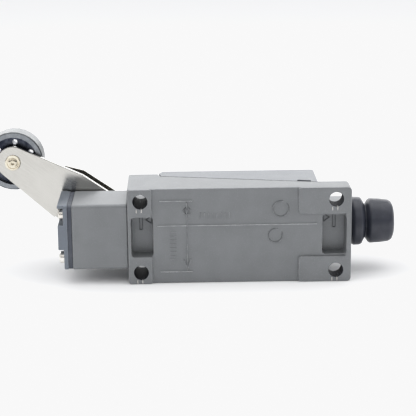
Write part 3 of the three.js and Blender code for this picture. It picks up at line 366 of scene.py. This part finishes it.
def roller_steel():
    """Roller: bright ground tread, greyer rim faces and painted shade on the web recessed between rim and hub."""
    surface = Surface("roller_steel", 1.0, 0.28)
    low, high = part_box("roller")
    centre = (low + high) / 2
    rim_outer = (high.x - low.x) / 2
    tread_depth = 0.42 * MM
    tread_blend = 0.12 * MM
    rim_depth = 1.75 * MM
    rim_blend = 0.2 * MM
    offset = surface.add("ShaderNodeVectorMath", operation="SUBTRACT")
    offset.inputs[1].default_value = (centre.x, 0, centre.z)
    surface.join(surface.places, offset.inputs[0])
    flat = surface.add("ShaderNodeVectorMath", operation="MULTIPLY")
    flat.inputs[1].default_value = (1, 0, 1)
    surface.join(offset.outputs[0], flat.inputs[0])
    reach = surface.add("ShaderNodeVectorMath", operation="LENGTH")
    surface.join(flat.outputs[0], reach.inputs[0])
    rings = surface.noise(0.08 * MM, 2.0, stretch=(6, 1, 6))
    clouds = surface.ramp(surface.noise(1.6 * MM), 0.35, 0.65)
    tread = surface.mix(clouds, (0.075, 0.082, 0.087), (0.11, 0.117, 0.122))
    face = surface.mix(clouds, (0.2, 0.215, 0.235), (0.27, 0.285, 0.305))
    # The darkest tone, on the web recessed between rim and hub, is painted shade.
    web_shade = surface.mix(clouds, (0.024, 0.028, 0.042), (0.1, 0.11, 0.14))
    outside = surface.ramp(reach.outputs["Value"], rim_outer - tread_depth,
                           rim_outer - tread_depth + tread_blend)
    on_rim = surface.ramp(reach.outputs["Value"], rim_outer - rim_depth,
                          rim_outer - rim_depth + rim_blend)
    surface.colour(surface.mix(outside, surface.mix(on_rim, web_shade, face), tread))
    surface.roughness(surface.ramp(rings, 0.3, 0.7, 0.26, 0.38))
    surface.bump(rings, 0.006 * MM, 0.4)
    return surface.material


def rubber(name, colour, bloom, roughness=0.5):
    """Moulded rubber: fine pores and a pale bloom in patches."""
    surface = Surface(name, 0.0, roughness)
    pores = surface.noise(0.2 * MM, 3.0)
    patches = surface.ramp(surface.noise(2.2 * MM), 0.4, 0.72)
    surface.colour(surface.mix(patches, colour, bloom))
    surface.roughness(surface.ramp(pores, 0.3, 0.7, roughness - 0.06, roughness + 0.12))
    surface.bump(pores, 0.02 * MM, 0.45)
    return surface.material


def plastic(name, colour):
    """Moulded plastic with a fine spark texture."""
    roughness = 0.42
    surface = Surface(name, 0.0, roughness)
    spark = surface.noise(0.14 * MM, 2.0)
    clouds = surface.ramp(surface.noise(5.0 * MM), 0.3, 0.7)
    surface.colour(surface.mix(clouds, scaled(colour, 0.92), scaled(colour, 1.06)))
    surface.roughness(surface.ramp(spark, 0.3, 0.7, roughness - 0.05, roughness + 0.1))
    surface.bump(spark, 0.015 * MM, 0.5)
    return surface.material


def stamped(name, light, dark, roughness=0.3):
    """Sheet or sintered metal with oxide patches and pores."""
    surface = Surface(name, 1.0, roughness)
    patches = surface.ramp(surface.noise(1.4 * MM), 0.35, 0.7)
    pores = surface.noise(0.12 * MM, 3.0)
    surface.colour(surface.mix(patches, light, dark))
    surface.roughness(surface.ramp(pores, 0.3, 0.7, roughness - 0.04, roughness + 0.14))
    surface.bump(pores, 0.012 * MM, 0.5)
    return surface.material


MATERIALS = {
    "die_cast": cast_metal("die_cast_case", (0.205, 0.213, 0.221), (0.4, 0.41, 0.42)),
    "cover_paint": cast_metal("die_cast_cover", (0.2, 0.21, 0.225), (0.4, 0.41, 0.42)),
    "dark_plate": cast_metal("cap_paint", (0.17, 0.19, 0.22), (0.36, 0.385, 0.43), 0.5, 0.4),
    "seal_rubber": rubber("seal_rubber", (0.055, 0.062, 0.08), (0.085, 0.094, 0.115)),
    "boot_rubber": rubber("boot_rubber", (0.02, 0.023, 0.035), (0.036, 0.039, 0.053), 0.38),
    "plated_steel": plated("plated_steel", (0.88, 0.855, 0.8), (0.74, 0.7, 0.63)),
    "satin_steel": turned_steel(),
    "bronze": stamped("bronze", (0.48, 0.3, 0.13), (0.34, 0.2, 0.09)),
    "terminal_brass": stamped("terminal_brass", (0.72, 0.53, 0.22), (0.6, 0.42, 0.17), 0.24),
    "contact_silver": stamped("contact_silver", (0.8, 0.78, 0.74), (0.62, 0.6, 0.57), 0.24),
    "black_plastic": plastic("black_plastic", (0.03, 0.031, 0.036)),
    "cream_plastic": plastic("cream_plastic", (0.68, 0.63, 0.52)),
}
OWN_MATERIALS = {"lever_arm": rolled_steel(), "roller": roller_steel()}

SLOT_OF = {part["node"]: part["material_slot"] for part in frame["record"]["subparts"]}


# ---------------------------------------------------------------- CAD nodes that stay


SHARP_ANGLE = math.radians(35)
WELD_DISTANCE = 0.002 * MM
FLAT_ANGLE = math.radians(0.6)        # facets that differ by less are merged
ROUNDED_ANGLE = math.radians(38)      # edges over this get a small round
FLAT_FACE_WEIGHT = 90
SOFT_SHARP_ANGLE = math.radians(60)   # the same as SHARP_ANGLE for rubber and wire, the rivet and the marks
RIVET_SHARP_ANGLE = math.radians(40)
MARK_SHARP_ANGLE = math.radians(20)
EDGES = {
    "case_body": 0.14 * MM,
    "cover": 0.14 * MM,
    "head_housing": 0.14 * MM,
    "head_cap": 0.1 * MM,
    "lever_arm": 0.08 * MM,
}


def smoothing_nodes():
    """Geometry nodes that shade faces smooth, but keep edges over SHARP_ANGLE sharp."""
    tree = bpy.data.node_groups.new("smooth_by_angle", "GeometryNodeTree")
    tree.interface.new_socket("Geometry", in_out="INPUT", socket_type="NodeSocketGeometry")
    tree.interface.new_socket("Geometry", in_out="OUTPUT", socket_type="NodeSocketGeometry")
    entry = tree.nodes.new("NodeGroupInput")
    leave = tree.nodes.new("NodeGroupOutput")
    faces = tree.nodes.new("GeometryNodeSetShadeSmooth")
    faces.domain = "FACE"
    edges = tree.nodes.new("GeometryNodeSetShadeSmooth")
    edges.domain = "EDGE"
    edges.inputs["Shade Smooth"].default_value = False
    angle = tree.nodes.new("GeometryNodeInputMeshEdgeAngle")
    sharp = tree.nodes.new("FunctionNodeCompare")
    sharp.operation = "GREATER_THAN"
    sharp.inputs[1].default_value = SHARP_ANGLE
    tree.links.new(entry.outputs[0], faces.inputs["Geometry"])
    tree.links.new(faces.outputs[0], edges.inputs["Geometry"])
    tree.links.new(angle.outputs["Unsigned Angle"], sharp.inputs[0])
    tree.links.new(sharp.outputs[0], edges.inputs["Selection"])
    tree.links.new(edges.outputs[0], leave.inputs[0])
    return tree


SMOOTHING = smoothing_nodes()


def dress(node):
    """Gives a CAD node its material, and if it is in EDGES, merged facets and slightly rounded edges."""
    edge = EDGES.get(node)
    piece = frame["nodes"][node]
    piece.data.materials.clear()
    piece.data.materials.append(OWN_MATERIALS.get(node) or MATERIALS[SLOT_OF[node]])
    weld = piece.modifiers.new("weld", "WELD")
    weld.merge_threshold = WELD_DISTANCE
    if edge:
        planar = piece.modifiers.new("planar", "DECIMATE")
        planar.decimate_type = "DISSOLVE"
        planar.angle_limit = FLAT_ANGLE
        planar.use_dissolve_boundaries = False
        round_edges = piece.modifiers.new("round_edges", "BEVEL")
        round_edges.width = edge
        round_edges.segments = 2
        round_edges.limit_method = "ANGLE"
        round_edges.angle_limit = ROUNDED_ANGLE
        round_edges.miter_outer = "MITER_ARC"
    smooth = piece.modifiers.new("smooth", "NODES")
    smooth.node_group = SMOOTHING
    if edge:
        weighted = piece.modifiers.new("weighted_normals", "WEIGHTED_NORMAL")
        weighted.keep_sharp = True
        weighted.weight = FLAT_FACE_WEIGHT


# ---------------------------------------------------------------- mesh helpers


def link_mesh(name, build, material, smooth_angle):
    """Makes an object from a bmesh that build(bm) fills, smooth but for its sharp edges."""
    mesh = bpy.data.meshes.new(name)
    bm = bmesh.new()
    build(bm)
    bmesh.ops.recalc_face_normals(bm, faces=bm.faces)
    for face in bm.faces:
        face.smooth = True
    for edge in bm.edges:
        if len(edge.link_faces) == 2 and edge.calc_face_angle(0) > smooth_angle:
            edge.smooth = False
    bm.to_mesh(mesh)
    bm.free()
    piece = bpy.data.objects.new(name, mesh)
    mesh.materials.append(material)
    bpy.context.scene.collection.objects.link(piece)
    return piece


def lathe(bm, profile, centre, axis, steps):
    """Turns a closed profile of (radius, height) about an axis, X or Y, through centre."""
    rings = []
    for step in range(steps):
        angle = 2 * math.pi * step / steps
        c, s = math.cos(angle), math.sin(angle)
        ring = []
        for radius, height in profile:
            offset = (height, radius * c, radius * s) if axis == "X" else (radius * c, height, radius * s)
            ring.append(bm.verts.new(Vector(offset) + centre))
        rings.append(ring)
    count = len(profile)
    for step in range(steps):
        here, there = rings[step], rings[(step + 1) % steps]
        for i in range(count):
            j = (i + 1) % count
            bm.faces.new((here[i], here[j], there[j], there[i]))


def rounded(profile, radius):
    """The closed profile with each corner replaced by an arc-like curve that starts radius before it."""
    steps = 3
    share = 0.45                      # of a side, at most, goes to the curve at each end
    points = []
    count = len(profile)
    for i in range(count):
        corner = Vector(profile[i])
        before, after = Vector(profile[i - 1]), Vector(profile[(i + 1) % count])
        reach = min(radius, (before - corner).length * share, (after - corner).length * share)
        start = corner + (before - corner).normalized() * reach
        end = corner + (after - corner).normalized() * reach
        for step in range(steps + 1):
            t = step / steps
            points.append(tuple(start * (1 - t) ** 2 + corner * 2 * t * (1 - t) + end * t ** 2))
    return points


# ---------------------------------------------------------------- cable boot

BOOT_STEPS = 96
BOOT_CORNER = 0.25 * MM
BOOT_GAP = 0.3 * MM                   # between the case's end and the boot's collar
BOOT_COLLAR = 5.0 * MM                # along the boot's axis
BOOT_GROOVE = 0.6 * MM
ROOT_BELOW_CROWN = 1.5 * MM
SLEEVE_BELOW_CROWN = 2.6 * MM
BORE_BELOW_CROWN = 3.7 * MM


def make_boot():
    """Rubber cable boot: a sleeve in the case's end, a collar, a deep groove and a tapered body."""
    low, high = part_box("cable_boot")
    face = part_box("case_body")[1].x + BOOT_GAP
    tip = high.x
    axis_y = (low.y + high.y) / 2
    crown = (high.y - low.y) / 2
    root = crown - ROOT_BELOW_CROWN
    bore = crown - BORE_BELOW_CROWN
    sleeve = crown - SLEEVE_BELOW_CROWN
    groove = face + BOOT_COLLAR
    body = groove + BOOT_GROOVE
    inside = [(bore, low.x), (sleeve, low.x), (sleeve, face)]
    collar = [
        (root - 0.2 * MM, face), (crown - 0.25 * MM, face + 1.5 * MM), (crown - 0.02 * MM, face + 1.9 * MM),
        (crown - 0.1 * MM, face + 3.7 * MM), (crown - 0.4 * MM, face + 4.2 * MM),
    ]
    valley = [
        (root - 0.2 * MM, groove - 0.1 * MM), (root - 0.7 * MM, groove + 0.15 * MM),
        (root - 0.6 * MM, body - 0.15 * MM),
    ]
    taper = [
        (crown - 0.9 * MM, body + 0.6 * MM), (crown - 0.55 * MM, body + 1.1 * MM),
        (crown - 0.7 * MM, body + 4.0 * MM), (crown - 1.0 * MM, tip - 1.5 * MM),
        (crown - 1.5 * MM, tip - 0.6 * MM), (crown - 2.7 * MM, tip),
    ]
    mouth = [(bore + 0.3 * MM, tip), (bore, tip - 0.3 * MM)]
    outline = rounded(inside + collar + valley + taper + mouth, BOOT_CORNER)
    centre = Vector((0, axis_y, (low.z + high.z) / 2))
    boot = link_mesh("rubber_boot", lambda bm: lathe(bm, outline, centre, "X", BOOT_STEPS),
                     MATERIALS["boot_rubber"], SOFT_SHARP_ANGLE)
    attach(boot, "housing")
    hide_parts("cable_boot")


# ---------------------------------------------------------------- roller rivet


RIVET_STEPS = 64
RIVET_FIT = 0.05 * MM                 # from the rivet's heads to the lever and to the roller
RIVET_MERGE = 0.0005 * MM             # closes the profile's points on the axis


def make_rivet():
    """Rivet with a rolled rim, a groove inside it and a domed middle with a punch mark."""
    low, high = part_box("roller_rivet")
    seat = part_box("lever_arm")[0].y - RIVET_FIT
    far_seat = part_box("roller")[1].y + RIVET_FIT
    near, far = low.y, high.y
    punch_mark = [(0, near + 0.6 * MM), (0.36 * MM, near + 0.5 * MM), (0.42 * MM, near + 0.05 * MM)]
    dome = [(0.55 * MM, near), (1.0 * MM, near + 0.03 * MM), (1.32 * MM, near + 0.24 * MM)]
    ring_groove = [(1.38 * MM, seat - 0.1 * MM), (1.62 * MM, seat - 0.1 * MM), (1.72 * MM, near + 0.24 * MM)]
    rim = [(2.1 * MM, near + 0.22 * MM), (2.3 * MM, near + 0.4 * MM), (2.3 * MM, seat), (1.8 * MM, seat)]
    far_head = [
        (1.8 * MM, far_seat), (2.9 * MM, far_seat), (2.9 * MM, far - 0.35 * MM), (2.6 * MM, far - 0.08 * MM),
        (2.2 * MM, far), (0, far),
    ]
    profile = punch_mark + dome + ring_groove + rim + far_head
    centre = Vector(((low.x + high.x) / 2, 0, (low.z + high.z) / 2))

    def build(bm):
        lathe(bm, profile, centre, "Y", RIVET_STEPS)
        bmesh.ops.remove_doubles(bm, verts=bm.verts, dist=RIVET_MERGE)

    nickel = plated("rivet_nickel", (0.78, 0.72, 0.6), (0.6, 0.54, 0.42), 0.16)
    rivet = link_mesh("turned_rivet", build, nickel, RIVET_SHARP_ANGLE)
    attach(rivet, "lever")
    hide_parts("roller_rivet")


# ---------------------------------------------------------------- coil springs

WIRE_RADIUS = 0.28 * MM
WIRE_SIDES = 10
STEPS_PER_TURN = 28
SPRING_TURNS = {"plunger_spring": 4, "contact_spring": 5}


def coil(bm, low, high, turns):
    """Round wire on a helix along X that fills the box from low to high."""
    centre = (low + high) / 2
    radius = (high.z - low.z) / 2 - WIRE_RADIUS
    first, last = low.x + WIRE_RADIUS, high.x - WIRE_RADIUS
    rings = []
    steps = turns * STEPS_PER_TURN
    for step in range(steps + 1):
        angle = 2 * math.pi * step / STEPS_PER_TURN
        outward = Vector((0, math.cos(angle), math.sin(angle)))
        place = Vector((first + (last - first) * step / steps, centre.y, centre.z)) + outward * radius
        ring = []
        for side in range(WIRE_SIDES):
            turn = 2 * math.pi * side / WIRE_SIDES
            offset = outward * math.cos(turn) + Vector((1, 0, 0)) * math.sin(turn)
            ring.append(bm.verts.new(place + offset * WIRE_RADIUS))
        rings.append(ring)
    for here, there in zip(rings, rings[1:]):
        for i in range(WIRE_SIDES):
            j = (i + 1) % WIRE_SIDES
            bm.faces.new((here[i], here[j], there[j], there[i]))
    bm.faces.new(rings[0])
    bm.faces.new(reversed(rings[-1]))


def make_springs():
    """Coils the two springs, which shorten with the plunger's travel from the end that stays on the housing, and
    attaches them there.
    """
    joints = frame["record"]["behaviour"]["joints"]
    for joint in joints:
        for row in joint.get("deforming_nodes", []):
            node = row["node"]
            low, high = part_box(node)
            spring = link_mesh("coiled_" + node, lambda bm: coil(bm, low, high, SPRING_TURNS[node]),
                               MATERIALS["plated_steel"], SOFT_SHARP_ANGLE)
            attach(spring, "housing")
            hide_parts(node)
            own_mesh(spring)


# ---------------------------------------------------------------- raised marks on the mounting back

PANEL = 0.0                           # Y of the recessed panel, the pads around it and the pockets' floors
PADS = -0.8 * MM
POCKET_FLOOR = 3.8 * MM
MARK_HEIGHT = 0.36 * MM
LOW_MARK_HEIGHT = 0.2 * MM
LINE_WIDTH = 0.5 * MM
FINE_WIDTH = 0.36 * MM
RING_WIDTH = 0.4 * MM
BURR_WIDTH = 0.42 * MM

# The numbers below are millimetres in the frame, as (x, z) where they are pairs.
EXTENSION_LINES = (((-22.3, 10.5), (-13.3, 10.5)), ((-22.3, -10.5), (-13.3, -10.5)))
LONG_LINE = ((-23.0, 3.2), (22.4, 3.2))
UPRIGHT_LINE = ((-14.7, 9.9), (-14.7, -9.9))
UPRIGHT_ARROW = ((-15.7, -6.9), (-14.7, -9.7), (-13.7, -6.9))
RINGS = ((12.1, 7.8, 2.3, 75, 400), (10.6, -0.1, 2.0, 70, 385))     # x, z, radius, first and last degrees
RING_FACETS = 24
UPRIGHT_DOT = (-14.7, 7.5, 0.95, 0, 360)
DOT_FACETS = 16
DASHES = 8
UPPER_DASHES = (-10.9, 5.4, 1.2, 1.5)                # first x, lower z, step and length
SIDE_DASHES = (-19.6, 1.2, 1.15, 1.7)                # left x, first z, step and length
BURRS = ((-1.1, 2.25, 3.1), (0.35, 2.2, 3.05))       # from the hole's axis: aside, and both ends below it
POCKETS = ((-27.9, 1), (27.8, -1))                   # middle x, and the way its arrow lies from the bar
BAR_HALF_WIDTH = 0.4
BAR_ENDS = (1.2, 5.3)
ARROW = ((1.4, 4.0), (3.0, 5.1), (3.0, 2.9))         # x from the pocket's middle, z
BORE_DEPTHS = ((-HOLE_PITCH_X / 2, 11.2 * MM), (HOLE_PITCH_X / 2, 4.9 * MM))
LINING_RADII = (2.1 * MM, 2.17 * MM)
LINING_START = -0.74 * MM
LINING_STEPS = 48


def raised_bar(bm, start, end, width, ground, height=MARK_HEIGHT):
    """A low ridge with sloping sides from start to end, both (x, z), standing out towards -Y."""
    crest_share = 0.4                 # the crest's width over the foot's
    run = Vector((end[0] - start[0], end[1] - start[1]))
    along = run.normalized()
    across = Vector((-along.y, along.x))
    foot, crest = [], []
    for s, t in ((-1, -1), (1, -1), (1, 1), (-1, 1)):
        corner = Vector(end if s > 0 else start)
        reach = along * (s * width / 2) + across * (t * width / 2)
        wide = corner + reach
        narrow = corner + reach * crest_share
        foot.append(bm.verts.new((wide.x, ground + MARK_HEIGHT, wide.y)))
        crest.append(bm.verts.new((narrow.x, ground - height, narrow.y)))
    bm.faces.new(crest)
    bm.faces.new(reversed(foot))
    for i in range(4):
        bm.faces.new((foot[i], foot[(i + 1) % 4], crest[(i + 1) % 4], crest[i]))


def in_metres(points):
    return [(x * MM, z * MM) for x, z in points]


def raised_path(bm, points, width, ground, closed=False):
    """A chain of raised bars through points given in millimetres."""
    places = in_metres(points)
    ends = places[1:] + places[:1] if closed else places[1:]
    for start, end in zip(places, ends):
        raised_bar(bm, start, end, width, ground)


def arc(x, z, radius, start, end, steps):
    """Points on an arc, with its angles in degrees from +X towards +Z."""
    angles = [math.radians(start + (end - start) * step / steps) for step in range(steps + 1)]
    return [(x + radius * math.cos(angle), z + radius * math.sin(angle)) for angle in angles]


def back_marks(bm):
    """The two extension lines and the long dimension line."""
    for line in (*EXTENSION_LINES, LONG_LINE):
        raised_path(bm, line, LINE_WIDTH, PANEL)


def fine_marks(bm):
    """Upright dimension line with its end marks, rows of plain dashes and two ejector rings."""
    for line in (UPRIGHT_LINE, UPRIGHT_ARROW, arc(*UPRIGHT_DOT, DOT_FACETS)):
        raised_path(bm, line, LINE_WIDTH, PANEL)
    for ring in RINGS:
        raised_path(bm, arc(*ring, RING_FACETS), RING_WIDTH, PANEL)
    upper_x, upper_z, upper_step, upper_length = UPPER_DASHES
    side_x, side_z, side_step, side_length = SIDE_DASHES
    for count in range(DASHES):
        x = upper_x + upper_step * count
        z = side_z - side_step * count
        for dash in (((x, upper_z), (x, upper_z + upper_length)), ((side_x, z), (side_x + side_length, z))):
            raised_bar(bm, *in_metres(dash), FINE_WIDTH, PANEL, LOW_MARK_HEIGHT)


def hole_burr_glints(bm):
    """Two short upright burrs on the lower rim of each mounting hole, bright silver as painted glints."""
    for x in (-HOLE_PITCH_X / 2, HOLE_PITCH_X / 2):
        for z in (-HOLE_PITCH_Z / 2, HOLE_PITCH_Z / 2):
            for aside, top, foot in BURRS:
                raised_bar(bm, (x + aside * MM, z - top * MM), (x + aside * MM, z - foot * MM),
                           BURR_WIDTH, PADS, LOW_MARK_HEIGHT)


def pocket_marks(bm):
    """A long outlined bar and an outlined arrow on the floor of each pocket."""
    low, high = BAR_ENDS
    for middle, side in POCKETS:
        left, right = middle - BAR_HALF_WIDTH, middle + BAR_HALF_WIDTH
        bar = [(left, low), (right, low), (right, high), (left, high)]
        arrow = [(middle + side * x, z) for x, z in ARROW]
        for shape in (bar, arrow):
            raised_path(bm, shape, FINE_WIDTH, POCKET_FLOOR, closed=True)


def bore_shade_linings(bm):
    """Thin tube on the wall of each mounting hole, down to its counterbore, that carries the holes' painted shade.
    """
    inner, outer = LINING_RADII
    for x, depth in BORE_DEPTHS:
        for z in (-HOLE_PITCH_Z / 2, HOLE_PITCH_Z / 2):
            profile = [(inner, LINING_START), (outer, LINING_START), (outer, depth), (inner, depth)]
            lathe(bm, profile, Vector((x, 0, z)), "Y", LINING_STEPS)


def make_marks():
    # A dark copy of the cast metal for the outlines in the pockets: painted shade.
    painted_shade = cast_metal("painted_shade_cast", (0.09, 0.095, 0.1), (0.2, 0.21, 0.22))
    # A lighter copy of the cast metal for the raised lines on the back: a painted highlight.
    painted_highlight = cast_metal("painted_highlight_cast", (0.3, 0.31, 0.32), (0.6, 0.61, 0.62))
    for name, build, finish in (("back_marks", back_marks, painted_highlight),
                                ("fine_marks", fine_marks, MATERIALS["die_cast"]),
                                ("pocket_marks", pocket_marks, painted_shade),
                                ("hole_burr_glints", hole_burr_glints, MATERIALS["contact_silver"]),
                                ("bore_shade_linings", bore_shade_linings, bore_shade_metal())):
        marks = link_mesh(name, build, finish, MARK_SHARP_ANGLE)
        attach(marks, "housing")


# ---------------------------------------------------------------- the object

make_camera()
make_floor()
make_lights()
for cad_node in frame["nodes"]:
    dress(cad_node)
make_boot()
make_rivet()
make_springs()
make_marks()
